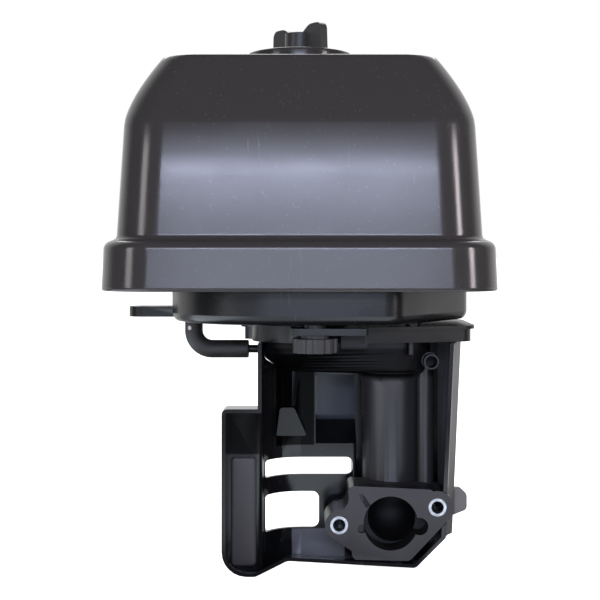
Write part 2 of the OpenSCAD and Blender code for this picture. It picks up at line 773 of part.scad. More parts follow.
module element_washer() {
    color(zinc) at_stud(element_top) pipe(10, stud_r + 2 * fit, washer_t);
}

module element_wing_nut() {
    hub_h = 9;
    wing_h = 14;
    plate_t = 2.4;
    plate = rounded([[4.5, 1.5, 0], [10, 2, 2], [17, wing_h - 2, 2.5], [13, wing_h - 0.5, 1.5],
        [4.5, hub_h - 1, 0]]);
    color(zinc) at_stud(element_top + washer_t + fit) difference() {
        union() {
            cylinder(r = 6, h = hub_h);
            for (turn = [0, 180]) rotate(turn) plate_y(plate, -plate_t / 2, plate_t);
        }
        translate([0, 0, -over]) cylinder(r = stud_r + fit, h = wing_h + 2 * over);
    }
}

module foam_sleeve() {
    color([0.22, 0.22, 0.23]) at_stud(seat_z + gap) pipe(foam_r, foam_ir, element_h + 1);
}

// Cover: brim, shoulder, wall and bevelled crown as one skin of rounded rectangles

brim_r = 28;
wall_r = 22;
wall_draft = 3.7;
wall_foot = brim_h + 3;
crown_z = cover_h - crown_h;

function ring(z, in_x, in_y, r) = let (x = brim_w / 2 - in_x, y = brim_d / 2 - in_y)
    lift(rounded([[-x, -y, r], [x, -y, r], [x, y, r], [-x, y, r]], 8), z);

// Rings of the cover, each drawn in by t and lowered by t to leave a wall of t
function cover_rings(t) = concat(
    [ring(t > 0 ? -over : 0, t, t, brim_r - t),
     ring(brim_h - 5 - t, 1 + t, 1 + t, brim_r - t),
     ring(brim_h - 1.5 - t, 2 + t, 2 + t, brim_r - t),
     ring(brim_h - t, 4 + t, 4 + t, brim_r - 3 - t),
     ring(wall_foot - t, shoulder + t, shoulder + t, wall_r - t)],
    [for (k = [0:8]) let (s = k / 8, in = shoulder + wall_draft)
        ring(crown_z + crown_h * s - t, in + crown_side * pow(s, 1.5) + t,
            in + crown_front * pow(s, 1.15) + t, wall_r - t)],
    [let (in = shoulder + wall_draft + 3 + t)
        ring(cover_h + 0.7 - t, in + crown_side, in + crown_front, wall_r - 2 - t)]);

module pad(r, h, edge) {
    rotate_extrude() polygon(concat([[0, -over - wall], [r, -over - wall]],
        [for (a = [0:15:90]) [r - edge + edge * cos(a), h - edge + edge * sin(a)]], [[0, h]]));
}

// Gussets inside the front and back walls that stand on the pan's rim
module gussets() {
    rib_t = 2.4;
    reach = pan_back - stud_y - 9;
    wall_in = brim_d / 2 - shoulder - wall_draft / 2 - wall;
    rise = 50;
    low = pan_top + gap;
    for (x = [-34, 34], turn = [0, 180]) rotate(turn) translate([x + rib_t / 2, 0, 0]) rotate([90, 0, -90])
        linear_extrude(rib_t) polygon([[reach, low], [wall_in + 2.5, low], [wall_in + 1.2, low + rise],
            [wall_in - 2, low + rise]]);
}

module cover() {
    color(satin) at_stud(0) difference() {
        union() {
            difference() {
                union() {
                    translate([0, 0, brim_z]) loft(cover_rings(0));
                    translate([0, 0, top_z]) pad(pad_r, pad_h, 1.5);
                }
                translate([0, 0, brim_z]) loft(cover_rings(wall));
                translate([0, 0, top_z - wall]) pad(pad_r - wall, pad_h, 1);
            }
            gussets();
        }
        translate([0, 0, top_z - 5]) cylinder(r = stud_r + 1.5, h = pad_h + 10);
    }
}

// Rubber ring under the pad, round the stud
module cover_grommet() {
    color(rubber) at_stud(pad_top - wall - 3) pipe(12, stud_r + gap, 3);
}

// The knob's two wings in one plate, which clears the washer under the hub
module blade() {
    end = wing_span / 2;
    top = knob_h + 2.2;
    foot = 0.5 - washer_h;
    clear = knob_r + 2;
    wing = [[end + 0.6, foot, 0.5], [end - 0.2, top, 4], [end - 11, top, 9], [4, knob_h - washer_h - 1, 0]];
    plate_y(rounded(concat([[clear, 0.3, 0], [clear, foot, 0]], wing,
        [for (k = [3:-1:0]) [-wing[k].x, wing[k].y, wing[k].z]], [[-clear, foot, 0], [-clear, 0.3, 0]])),
        -wing_t / 2, wing_t);
}

module cover_knob() {
    color(gloss) at_stud(pad_top + washer_h) rotate(wing_turn) difference() {
        union() {
            cylinder(r = knob_r, h = knob_h - washer_h);
            blade();
        }
        translate([0, 0, -over]) cylinder(r = insert_r + fit / 2, h = knob_h - washer_h - roof_t + over);
    }
}

// Threaded metal insert in the knob
module knob_insert() {
    color(brass) at_stud(pad_top + washer_h)
        pipe(insert_r, stud_r + fit, knob_h - washer_h - roof_t - fit);
}

module knob_washer() {
    color(zinc) at_stud(pad_top + fit) pipe(knob_r + 1.4, stud_r + 2 * fit, washer_h - fit);
}

module clamp_nut() {
    flutes = 12;
    flute_r = 2.2;
    head_h = clamp_h - 1.6;
    hub_r = 8;
    color(gloss) translate([clamp_xy.x, clamp_xy.y, tongue_z - fit - clamp_h]) difference() {
        union() {
            cylinder(r = clamp_r, h = head_h);
            cylinder(r = hub_r, h = clamp_h);
        }
        for (i = [0:flutes - 1]) rotate(i * 360 / flutes) translate([clamp_r + 1.1, 0, -over])
            cylinder(r = flute_r, h = head_h + 2 * over);
        translate([0, 0, clamp_cap_t]) cylinder(r = insert_r + fit / 2, h = clamp_h);
    }
}

module clamp_insert() {
    color(brass) translate([clamp_xy.x, clamp_xy.y, tongue_z - fit - clamp_h + clamp_cap_t])
        pipe(insert_r, stud_r + fit, clamp_h - clamp_cap_t);
}

base_pan();
pan_seal();
intake_elbow();
carb_shield();
stud_collars();
cover_stud();
stud_nuts();
breather_hose();
clamp_stud();
pan_screws();
shield_screws();
element_pleats();
element_top_cap();
element_bottom_cap();
element_core();
element_seal();
element_washer();
element_wing_nut();
foam_sleeve();
cover();
cover_grommet();
cover_knob();
knob_insert();
knob_washer();
clamp_nut();
clamp_insert();
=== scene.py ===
"""Studio scene of a small-engine air filter housing.

The CAD frame gives every size and place. This script models the parts that show,
gives nearly every surface its finish, and sets up the camera and the studio of the photograph.
"""

from __future__ import annotations

import json
import logging
import math
from dataclasses import dataclass
from enum import Enum
from typing import NamedTuple, Sequence

import bpy
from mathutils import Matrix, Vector

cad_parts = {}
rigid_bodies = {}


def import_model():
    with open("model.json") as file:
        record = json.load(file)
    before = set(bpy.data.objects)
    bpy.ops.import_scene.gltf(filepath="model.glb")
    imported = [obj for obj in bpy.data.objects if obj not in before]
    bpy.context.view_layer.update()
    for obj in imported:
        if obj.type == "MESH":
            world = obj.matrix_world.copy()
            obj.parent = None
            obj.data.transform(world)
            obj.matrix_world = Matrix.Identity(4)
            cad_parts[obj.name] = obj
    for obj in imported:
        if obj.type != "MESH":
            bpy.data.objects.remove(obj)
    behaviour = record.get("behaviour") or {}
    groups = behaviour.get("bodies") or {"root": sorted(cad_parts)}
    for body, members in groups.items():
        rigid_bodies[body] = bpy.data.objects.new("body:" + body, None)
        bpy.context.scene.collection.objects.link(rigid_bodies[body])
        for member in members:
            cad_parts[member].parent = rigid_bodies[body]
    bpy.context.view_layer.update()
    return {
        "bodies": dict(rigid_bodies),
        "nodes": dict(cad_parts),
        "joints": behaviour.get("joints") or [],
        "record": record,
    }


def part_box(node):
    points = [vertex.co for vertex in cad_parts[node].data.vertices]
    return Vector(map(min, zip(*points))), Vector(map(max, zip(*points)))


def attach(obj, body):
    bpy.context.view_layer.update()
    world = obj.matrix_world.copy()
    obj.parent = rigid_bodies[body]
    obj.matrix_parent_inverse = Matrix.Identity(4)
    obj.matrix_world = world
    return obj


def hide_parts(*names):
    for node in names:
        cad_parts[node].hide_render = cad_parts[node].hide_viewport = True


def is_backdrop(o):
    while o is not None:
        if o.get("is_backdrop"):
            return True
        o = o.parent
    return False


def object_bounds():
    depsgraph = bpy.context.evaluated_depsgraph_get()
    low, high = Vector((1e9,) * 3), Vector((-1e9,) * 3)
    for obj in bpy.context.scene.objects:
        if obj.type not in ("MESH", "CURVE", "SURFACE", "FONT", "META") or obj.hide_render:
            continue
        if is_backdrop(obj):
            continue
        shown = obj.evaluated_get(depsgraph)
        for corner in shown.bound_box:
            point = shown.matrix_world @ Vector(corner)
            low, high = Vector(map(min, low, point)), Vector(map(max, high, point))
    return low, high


LOG = logging.getLogger("air_filter_housing")
MM = 0.001

Piece = bpy.types.Object
Material = bpy.types.Material
Node = bpy.types.Node
Tree = bpy.types.NodeTree
Socket = bpy.types.NodeSocket
Pair = tuple[float, float]
Triple = tuple[float, float, float]
Colour = Triple

WHITE: Colour = (1.0, 1.0, 1.0)
COOL: Colour = (0.70, 0.76, 1.0)

# Sockets of a Mix node that mixes colours
MIX_FACTOR, MIX_FIRST, MIX_SECOND, MIX_RESULT = 0, 6, 7, 2

# Vertices closer than this are one, in a CAD mesh and in a mesh modelled here
CAD_DOUBLES = 0.001 * MM
DOUBLES = 0.002 * MM

# Triangles of a CAD mesh that meet at less than this are joined
FLAT_DEGREES = 0.08


class Body(Enum):
    """Bodies of the frame that a new piece can ride on."""

    ROOT = "root"
    WING_NUT = "wing_nut"
    FOAM = "foam"
    COVER = "cover"
    KNOB = "knob"
    CLAMP_NUT = "clamp_nut"


class Slot(Enum):
    """Material slots of the record that a new piece can have."""

    SATIN = "satin_plastic"
    GLOSS = "gloss_plastic"
    HOSE = "hose_rubber"
    ZINC = "zinc_steel"
    FOAM = "filter_foam"


# Shader helpers


class Graph:
    """A node tree that is written from left to right."""

    def __init__(self, tree: Tree) -> None:
        """Keep the tree and clear it.

        Args:
            tree: The material's or the group's node tree.
        """
        self.tree = tree
        self.tree.nodes.clear()

    def add(self, kind: str, **settings: object) -> Node:
        """Add a node and set its properties.

        Args:
            kind: The node's type without its ShaderNode prefix, or a full type name.
            **settings: Properties of the node by name.

        Returns:
            The new node.
        """
        full = kind if kind.startswith("Node") else "ShaderNode" + kind
        node = self.tree.nodes.new(full)
        for name, value in settings.items():
            setattr(node, name, value)
        return node

    def put(self, socket: Socket, value: object) -> None:
        """Give one input a value or another node's output.

        Args:
            socket: The input.
            value: The value or the output.
        """
        if isinstance(value, Socket):
            self.tree.links.new(value, socket)
        else:
            socket.default_value = value

    def feed(self, node: Node, **inputs: object) -> Node:
        """Give a node its inputs, each a value or another node's output.

        Args:
            node: The node that takes them.
            **inputs: Values by socket name, with underscores for spaces.

        Returns:
            The same node.
        """
        for name, value in inputs.items():
            self.put(node.inputs[name.replace("_", " ")], value)
        return node

    def math(self, operation: str, first: object, second: object, clamp: bool = False) -> Socket:
        """Put two numbers through a Math node.

        Args:
            operation: The Math node's operation.
            first: The first number or output.
            second: The second number or output.
            clamp: Whether the result is kept between 0 and 1.

        Returns:
            The result's output.
        """
        node = self.add("Math", operation=operation, use_clamp=clamp)
        self.put(node.inputs[0], first)
        self.put(node.inputs[1], second)
        return node.outputs[0]

    def scaled(self, value: Socket, factor: float, base: object) -> Socket:
        """Multiply an output by a factor and add a number or an output to it."""
        return self.math("ADD", self.math("MULTIPLY", value, factor), base)

    def span(self, value: Socket, low: float, high: float) -> Socket:
        """Stretch a range of values to between 0 and 1, smoothly and clamped.

        Args:
            value: The output to stretch.
            low: The value that becomes 0.
            high: The value that becomes 1.

        Returns:
            The stretched output.
        """
        node = self.add("MapRange", interpolation_type="SMOOTHSTEP")
        self.feed(node, Value=value, From_Min=low, From_Max=high)
        return node.outputs["Result"]

    def blend(self, mask: Socket, first: object, second: object) -> Socket:
        """Mix two colours by a mask.

        Args:
            mask: 0 shows the first colour and 1 the second.
            first: A colour or an output.
            second: A colour or an output.

        Returns:
            The mixed colour.
        """
        node = self.add("Mix", data_type="RGBA", blend_type="MIX")
        self.put(node.inputs[MIX_FACTOR], mask)
        for index, value in ((MIX_FIRST, first), (MIX_SECOND, second)):
            self.put(node.inputs[index], value if isinstance(value, Socket) else (*value, 1.0))
        return node.outputs[MIX_RESULT]

    def bump(self, height: Socket, strength: float, depth: float = 0.2 * MM) -> Socket:
        """Turn a height into a bumped normal."""
        node = self.feed(self.add("Bump"), Height=height, Strength=strength, Distance=depth)
        return node.outputs[0]

    def in_box(self, place: Socket, low: Triple, high: Triple, soft: float) -> Socket:
        """Mask the inside of an upright box.

        Args:
            place: The coordinates to test.
            low: The box's lowest corner.
            high: The box's highest corner.
            soft: Width of the mask's edge.

        Returns:
            1 inside the box and 0 outside it.
        """
        middle = [(a + b) / 2 for a, b in zip(low, high)]
        half = [(b - a) / 2 for a, b in zip(low, high)]
        for operation, other in (("SUBTRACT", middle), ("ABSOLUTE", None), ("SUBTRACT", half)):
            step = self.add("VectorMath", operation=operation)
            self.put(step.inputs[0], place)
            if other is not None:
                self.put(step.inputs[1], other)
            place = step.outputs[0]
        away = self.feed(self.add("SeparateXYZ"), Vector=place).outputs
        furthest = self.math("MAXIMUM", self.math("MAXIMUM", away["X"], away["Y"]), away["Z"])
        return self.span(furthest, 0.0, -soft)

    def in_ball(self, place: Socket, centre: Triple, radius: float, soft: float) -> Socket:
        """Mask the inside of a ball.

        Args:
            place: The coordinates to test.
            centre: The ball's middle.
            radius: The ball's radius.
            soft: Width of the mask's edge.

        Returns:
            1 inside the ball and 0 outside it.
        """
        away = self.add("VectorMath", operation="DISTANCE")
        self.put(away.inputs[0], place)
        self.put(away.inputs[1], centre)
        return self.span(away.outputs["Value"], radius, radius - soft)

    def use(self, tree: Tree, **values: float) -> Node:
        """Place a shared effect's node group with its own values by name."""
        return self.feed(self.add("Group", node_tree=tree), **values)


class Effects:
    """Shader node groups that several finishes share."""

    def __init__(self) -> None:
        """Build every group once."""
        self.grain = self._grain()
        self.scuffs = self._scuffs()
        self.mottle = self._mottle()

    @staticmethod
    def _group(
        name: str, inputs: dict[str, float], outputs: Sequence[str]
    ) -> tuple[Graph, Socket, dict[str, Socket]]:
        """Start a group that reads Object coordinates.

        Args:
            name: The group's name.
            inputs: Values of its number inputs by name.
            outputs: Names of its number outputs.

        Returns:
            The graph, the coordinates' output and the group's input sockets by name.
        """
        tree = bpy.data.node_groups.new(name, "ShaderNodeTree")
        for label, value in inputs.items():
            socket = tree.interface.new_socket(label, in_out="INPUT", socket_type="NodeSocketFloat")
            socket.default_value = value
        for label in outputs:
            tree.interface.new_socket(label, in_out="OUTPUT", socket_type="NodeSocketFloat")
        graph = Graph(tree)
        entry = graph.add("NodeGroupInput")
        place = graph.add("TexCoord").outputs["Object"]
        return graph, place, {label: entry.outputs[label] for label in inputs}

    @staticmethod
    def _leave(graph: Graph, **outputs: Socket) -> Tree:
        """Link a group's outputs and return its tree."""
        graph.feed(graph.add("NodeGroupOutput"), **outputs)
        return graph.tree

    def _grain(self) -> Tree:
        """Fine spark-eroded grain of a mould, as a height and a speckle mask for painted glints.

        Returns:
            The group's tree.
        """
        inputs = {"Pitch": 1200.0, "Speckle": 0.6}
        graph, place, given = self._group("moulded_grain", inputs, ["Height", "Mask"])
        fine = graph.add("TexNoise")
        graph.feed(fine, Vector=place, Scale=given["Pitch"], Detail=2.0, Roughness=0.6)
        cells = graph.feed(graph.add("TexVoronoi"), Vector=place, Scale=given["Pitch"])
        spark = graph.math("GREATER_THAN", cells.outputs["Color"], given["Speckle"])
        return self._leave(graph, Height=fine.outputs[0], Mask=spark)

    def _scuffs(self) -> Tree:
        """Fine hair scratches of handling, gathered in a few rubbed places.

        Returns:
            The group's tree.
        """
        inputs = {"Amount": 0.5, "Length": 60.0}
        graph, place, given = self._group("handling_scuffs", inputs, ["Mask"])
        turn = graph.add("Mapping")
        graph.feed(turn, Vector=place, Rotation=(0.3, 0.9, 0.5), Scale=(12.0, 12.0, 1.0))
        hairs = graph.add("TexNoise")
        graph.feed(hairs, Vector=turn.outputs[0], Scale=given["Length"], Detail=2.0, Roughness=0.5)
        rubbed = graph.feed(graph.add("TexNoise"), Vector=place, Scale=26.0, Detail=2.0)
        lines = graph.span(hairs.outputs[0], 0.6, 0.72)
        where = graph.span(rubbed.outputs[0], 0.56, 0.72)
        both = graph.math("MULTIPLY", lines, where)
        return self._leave(graph, Mask=graph.math("MULTIPLY", both, given["Amount"], clamp=True))

    def _mottle(self) -> Tree:
        """Slow flow marks and cloudiness over a moulded surface.

        Returns:
            The group's tree.
        """
        graph, place, given = self._group("flow_mottle", {"Scale": 30.0}, ["Mask"])
        cloud = graph.add("TexNoise")
        graph.feed(cloud, Vector=place, Scale=given["Scale"], Detail=4.0, Roughness=0.55)
        return self._leave(graph, Mask=graph.span(cloud.outputs[0], 0.35, 0.65))


def new_material(name: str) -> tuple[Material, Graph, Node]:
    """Start a material with a Principled shader.

    Args:
        name: The material's name.

    Returns:
        The material, its graph and the shader node.
    """
    material = bpy.data.materials.new(name)
    material.use_nodes = True
    graph = Graph(material.node_tree)
    shader = graph.add("BsdfPrincipled")
    graph.feed(graph.add("OutputMaterial"), Surface=shader.outputs[0])
    return material, graph, shader


# Finishes


@dataclass(frozen=True)
class Patch:
    """A region of a moulding with a look of its own.

    The region is a box in millimetres with soft edges. Most regions paint shade or reflection
    into the colour; its dullness is the share of sheen that it lacks, which darkens painted shade.
    """

    low: Triple
    high: Triple
    colour: Colour
    roughness: float
    soft: float = 0.1
    dull: float = 0.0

    def mask(self, graph: Graph, place: Socket) -> Socket:
        """Give 1 inside the region and 0 outside it."""
        low, high = (tuple(v * MM for v in corner) for corner in (self.low, self.high))
        return graph.in_box(place, low, high, self.soft * MM)


@dataclass(frozen=True)
class PlasticFinish:
    """Moulded plastic with grain, painted glints, flow marks, handling scuffs and other regions."""

    name: str
    colour: Colour
    wear_and_glint: Colour
    roughness: float
    spread: float
    grain_pitch: float = 1100.0
    grain_depth: float = 0.05
    scuff: float = 0.2
    scuff_rough: float = 0.15
    painted_glint: float = 0.12
    patches: tuple[Patch, ...] = ()

    def make(self, effects: Effects) -> Material:
        """Build the material.

        Args:
            effects: The shared node groups.

        Returns:
            The material.
        """
        material, graph, shader = new_material(self.name)
        grain = graph.use(effects.grain, Pitch=self.grain_pitch, Speckle=0.93)
        mottle = graph.use(effects.mottle, Scale=26.0).outputs["Mask"]
        scuffs = graph.use(effects.scuffs, Amount=self.scuff).outputs["Mask"]
        # Specks of the grain are painted glints, coloured as the scuffs are
        glint_specks = graph.math("MULTIPLY", grain.outputs["Mask"], self.painted_glint)
        scuffs_and_glints = graph.math("ADD", scuffs, glint_specks, clamp=True)
        colour = graph.blend(scuffs_and_glints, self.colour, self.wear_and_glint)
        rough = graph.scaled(mottle, self.spread, self.roughness)
        rough = graph.scaled(scuffs, self.scuff_rough, rough)
        dull: Socket | float = 0.0
        place = graph.add("TexCoord").outputs["Object"]
        # Most regions paint shade or reflection over the plastic's colour
        for patch in self.patches:
            mask = patch.mask(graph, place)
            colour = graph.blend(mask, colour, patch.colour)
            added = graph.math("MULTIPLY", mask, patch.roughness - self.roughness)
            rough = graph.math("ADD", rough, added, clamp=True)
            dull = graph.math("MAXIMUM", dull, graph.math("MULTIPLY", mask, patch.dull))
        normal = graph.bump(grain.outputs["Height"], self.grain_depth)
        graph.feed(shader, Base_Color=colour, Roughness=rough, Metallic=dull, Normal=normal)
        return material


@dataclass(frozen=True)
class CloudedFinish:
    """A finely grained surface clouded by a second colour, with a dab of paint if it has one."""

    name: str
    colour: Colour
    clouded: Colour
    roughness: float
    dab_at: Triple | None = None
    dab_r: float = 1.4 * MM
    dab_soft: float = 0.2
    dab_colour: Colour = (0.75, 0.74, 0.72)
    metallic: float = 0.0
    cloud: float = 0.5
    cloud_scale: float = 90.0
    spread: float = 0.12
    grain_pitch: float = 1800.0
    grain_depth: float = 0.25

    def make(self, effects: Effects) -> Material:
        """Build the material.

        Args:
            effects: The shared node groups.

        Returns:
            The material.
        """
        material, graph, shader = new_material(self.name)
        grain = graph.use(effects.grain, Pitch=self.grain_pitch, Speckle=0.9)
        mottle = graph.use(effects.mottle, Scale=self.cloud_scale).outputs["Mask"]
        colour = graph.blend(graph.math("MULTIPLY", mottle, self.cloud), self.colour, self.clouded)
        if self.dab_at is not None:
            place = graph.add("TexCoord").outputs["Object"]
            dab = graph.in_ball(place, self.dab_at, self.dab_r, self.dab_soft * self.dab_r)
            colour = graph.blend(dab, colour, self.dab_colour)
        rough = graph.scaled(mottle, self.spread, self.roughness)
        normal = graph.bump(grain.outputs["Height"], self.grain_depth)
        graph.feed(
            shader, Base_Color=colour, Roughness=rough, Metallic=self.metallic, Normal=normal
        )
        return material


@dataclass(frozen=True)
class RubberFinish(CloudedFinish):
    """Matt rubber with a fine skin, clouded by dust."""


@dataclass(frozen=True)
class MetalFinish(CloudedFinish):
    """Plated or turned metal, clouded by tarnish."""

    metallic: float = 1.0
    cloud: float = 0.6
    cloud_scale: float = 260.0
    spread: float = 0.15
    grain_pitch: float = 2500.0
    grain_depth: float = 0.08


@dataclass(frozen=True)
class FoamFinish:
    """Open-cell foam: lighter struts, with painted shade in the cells between them."""

    name: str
    strut: Colour
    pore_shade: Colour
    cells: float
    strut_edge: Pair = (0.06, 0.22)
    cloud: float = 0.3
    roughness: float = 0.9
    pore_strength: float = 0.9
    pore_depth: float = 0.6 * MM

    def make(self, effects: Effects) -> Material:
        """Build the material.

        Args:
            effects: The shared node groups.

        Returns:
            The material.
        """
        material, graph, shader = new_material(self.name)
        place = graph.add("TexCoord").outputs["Object"]
        cells = graph.add("TexVoronoi", feature="DISTANCE_TO_EDGE")
        graph.feed(cells, Vector=place, Scale=self.cells)
        pores = graph.span(cells.outputs["Distance"], *self.strut_edge)
        mottle = graph.use(effects.mottle, Scale=60.0).outputs["Mask"]
        tint = graph.math("MULTIPLY", mottle, self.cloud)
        # Pores get painted shade, less of it where the foam is clouded
        pore_shade_mask = graph.math("SUBTRACT", pores, tint, clamp=True)
        colour = graph.blend(pore_shade_mask, self.strut, self.pore_shade)
        height = graph.math("SUBTRACT", 1.0, pores)
        normal = graph.bump(height, self.pore_strength, self.pore_depth)
        graph.feed(shader, Base_Color=colour, Roughness=self.roughness, Normal=normal)
        return material


@dataclass(frozen=True)
class PaperFinish:
    """Resin-treated filter paper with fibres and a little dust."""

    name: str
    colour: Colour
    fibre: Colour
    cloud: float = 0.45
    fibres: float = 0.5
    roughness: float = 0.85
    grain_strength: float = 0.3
    grain_depth: float = 0.3 * MM

    def make(self, effects: Effects) -> Material:
        """Build the material.

        Args:
            effects: The shared node groups.

        Returns:
            The material.
        """
        material, graph, shader = new_material(self.name)
        hairs = graph.use(effects.scuffs, Amount=1.0, Length=240.0).outputs["Mask"]
        mottle = graph.use(effects.mottle, Scale=140.0).outputs["Mask"]
        grain = graph.use(effects.grain, Pitch=900.0, Speckle=0.9)
        cloudy = graph.math("MULTIPLY", mottle, self.cloud)
        mixed = graph.math("ADD", cloudy, graph.math("MULTIPLY", hairs, self.fibres), clamp=True)
        colour = graph.blend(mixed, self.colour, self.fibre)
        normal = graph.bump(grain.outputs["Height"], self.grain_strength, self.grain_depth)
        graph.feed(shader, Base_Color=colour, Roughness=self.roughness, Normal=normal)
        return material


# Colours of the black mouldings: clean; scuffed, a colour the painted glints share; painted
# shade far inside holes; and painted shade in shaded places
BLACK: Colour = (0.006, 0.0062, 0.0074)
GREY: Colour = (0.09, 0.09, 0.095)
DEEP_SHADE: Colour = (0.003, 0.003, 0.0035)
SHADE: Colour = (0.002, 0.002, 0.0024)

# The elbow's regions, each laid over the ones before it: the duct, rougher and lightened as a
# painted sheen; the flange face; and painted shade in the bore, under the bowl, on the skirt
# and inside the nipple
ELBOW_PATCHES = (
    Patch((-26, 8, 16), (30, 70, 82), (0.026, 0.026, 0.029), 0.36, soft=3.0),
    Patch((-45, -2, -25), (45, 0.35, 25), (0.040, 0.040, 0.043), 0.5),
    Patch((-15.4, 0.6, -15.4), (21.4, 50, 15.4), DEEP_SHADE, 0.6),
    Patch((-68, -4, 78), (16, 70, 100), (0.004, 0.004, 0.0045), 0.5, soft=4.0, dull=0.75),
    Patch((-29, -1.5, 84), (-11, 5, 109), DEEP_SHADE, 0.6, soft=0.5),
    Patch((20.2, 9.5, 86.1), (27.4, 24, 93.3), DEEP_SHADE, 0.6),
)

# The shield's regions, on the inner faces of its walls: the raised panel, lightened as painted
# light; painted reflection in the pocket, on the sill, the right wall and the lug; and painted
# shade, duller too, on the back and the flat above the panel
SHIELD_PATCHES = (
    Patch((-90.6, 0, -27.5), (-75.2, 12.4, 36), (0.046, 0.044, 0.047), 0.5),
    Patch((-41, 30, 50), (-17, 64.7, 84), (0.056, 0.062, 0.078), 0.35, soft=0.5),
    Patch((-74, 34, 37.5), (-42, 41.1, 104), SHADE, 0.14, soft=0.8, dull=0.85),
    Patch((-96, 6, 36.2), (-73, 14.9, 68), SHADE, 0.14, soft=0.8, dull=0.75),
    Patch((-56, 26, -32), (-24, 41.1, -11), (0.13, 0.135, 0.155), 0.3, soft=1.0),
    Patch((33, 1.5, -12), (60, 80, 101), (0.07, 0.07, 0.072), 0.5, soft=0.5),
    Patch((42, 40, -9), (60, 80, 11), (0.2, 0.195, 0.195), 0.5, soft=1.5),
)

COVER_PLASTIC = PlasticFinish(
    "satin_cover_plastic", (0.0425, 0.039, 0.0385), (0.16, 0.16, 0.165), 0.14, 0.04,
    grain_pitch=1400.0, grain_depth=0.16, scuff=0.18, painted_glint=0.2,
)
PAN_PLASTIC = PlasticFinish("gloss_black_plastic", BLACK, GREY, 0.24, 0.08, scuff=0.25)
ELBOW_PLASTIC = PlasticFinish(
    "flange_black_plastic", BLACK, GREY, 0.32, 0.06, patches=ELBOW_PATCHES
)
SHIELD_PLASTIC = PlasticFinish(
    "shield_black_plastic", BLACK, GREY, 0.14, 0.05, patches=SHIELD_PATCHES
)
KNOB_PLASTIC = PlasticFinish(
    "knob_black_plastic", (0.034, 0.034, 0.035), GREY, 0.32, 0.1,
    grain_pitch=1400.0, grain_depth=0.14, scuff=0.3,
)
ZINC = MetalFinish("zinc_plate", (0.56, 0.58, 0.63), (0.40, 0.40, 0.42), 0.24)
BLACK_STEEL = MetalFinish("blackened_screw", (0.05, 0.05, 0.055), (0.03, 0.03, 0.03), 0.4)
BRASS = MetalFinish("turned_brass", (0.71, 0.54, 0.24), (0.50, 0.36, 0.15), 0.25)
HOSE_RUBBER = RubberFinish(
    "hose_rubber", (0.016, 0.016, 0.016), (0.034, 0.034, 0.034), 0.5,
    dab_at=(-116.3 * MM, 40.2 * MM, 107 * MM),
)
SEAL_RUBBER = RubberFinish("seal_rubber", (0.014, 0.014, 0.014), (0.03, 0.03, 0.03), 0.6)
CAP_RUBBER = RubberFinish("cap_rubber", (0.022, 0.022, 0.024), (0.04, 0.04, 0.042), 0.5)
FOAM = FoamFinish("open_cell_foam", (0.06, 0.06, 0.063), (0.006, 0.006, 0.006), 700.0)
PAPER = PaperFinish("filter_paper", (0.68, 0.56, 0.36), (0.80, 0.71, 0.52))

Finish = PlasticFinish | CloudedFinish | FoamFinish | PaperFinish
Painted = tuple[tuple[Finish, tuple[str, ...]], ...]


class Finishes:
    """The housing's materials, each made once."""

    def __init__(self) -> None:
        """Build the shared effects."""
        self.effects = Effects()
        self.made: dict[str, Material] = {}

    def of(self, finish: Finish) -> Material:
        """Give a finish's material.

        Args:
            finish: The finish.

        Returns:
            Its material, which is made on first use.
        """
        if finish.name not in self.made:
            self.made[finish.name] = finish.make(self.effects)
        return self.made[finish.name]


# Modelling helpers


def start_clean() -> None:
    """Leave edit mode and select nothing."""
    if bpy.context.mode != "OBJECT":
        bpy.ops.object.mode_set(mode="OBJECT")
    bpy.ops.object.select_all(action="DESELECT")


def take(piece: Piece) -> None:
    """Select one piece alone and make it active.

    Args:
        piece: The piece that the next operators act on.
    """
    start_clean()
    piece.select_set(True)
    bpy.context.view_layer.objects.active = piece


def edit_all(piece: Piece) -> None:
    """Enter edit mode on one piece with its whole mesh selected.

    Args:
        piece: The piece to edit.
    """
    take(piece)
    bpy.ops.object.mode_set(mode="EDIT")
    bpy.ops.mesh.select_all(action="SELECT")


def name_new(name: str) -> Piece:
    """Name the object that an operator has just added.

    Args:
        name: Its new name.

    Returns:
        The object.
    """
    piece = bpy.context.active_object
    piece.name = name
    piece.data.name = name
    return piece


def settle(piece: Piece) -> Piece:
    """Put a piece's place into its mesh, so that it sits at the origin.

    Args:
        piece: The piece to settle.

    Returns:
        The same piece.
    """
    take(piece)
    bpy.ops.object.transform_apply(location=True, rotation=True, scale=True)
    return piece


def finish_modifiers(piece: Piece) -> None:
    """Apply every modifier of a piece in order.

    Args:
        piece: The piece.
    """
    take(piece)
    for modifier in list(piece.modifiers):
        bpy.ops.object.modifier_apply(modifier=modifier.name)


def smooth(piece: Piece, degrees: float) -> None:
    """Shade a piece smooth but for edges sharper than an angle."""
    take(piece)
    bpy.ops.object.shade_smooth_by_angle(angle=math.radians(degrees))


class Edge(NamedTuple):
    """How edges are rounded: width, faces across, and the angle below which they stay sharp."""

    width: float
    steps: int = 2
    degrees: float = 32.0


def soften_edges(piece: Piece, edge: Edge, flat: bool = False) -> None:
    """Round every sharp edge of a piece.

    Args:
        piece: The piece.
        edge: How its edges are rounded.
        flat: Whether the faces beside an edge keep their own shading.
    """
    bevel = piece.modifiers.new("edge_round", "BEVEL")
    bevel.width = edge.width
    bevel.segments = edge.steps
    bevel.limit_method = "ANGLE"
    bevel.angle_limit = math.radians(edge.degrees)
    bevel.miter_outer = "MITER_ARC"
    bevel.use_clamp_overlap = True
    bevel.harden_normals = flat
    finish_modifiers(piece)


def thicken(piece: Piece, wall: float) -> None:
    """Give an open skin a wall on its inner side.

    Args:
        piece: The skin.
        wall: The wall's thickness.
    """
    solid = piece.modifiers.new("wall", "SOLIDIFY")
    solid.thickness = wall
    solid.offset = -1.0
    finish_modifiers(piece)


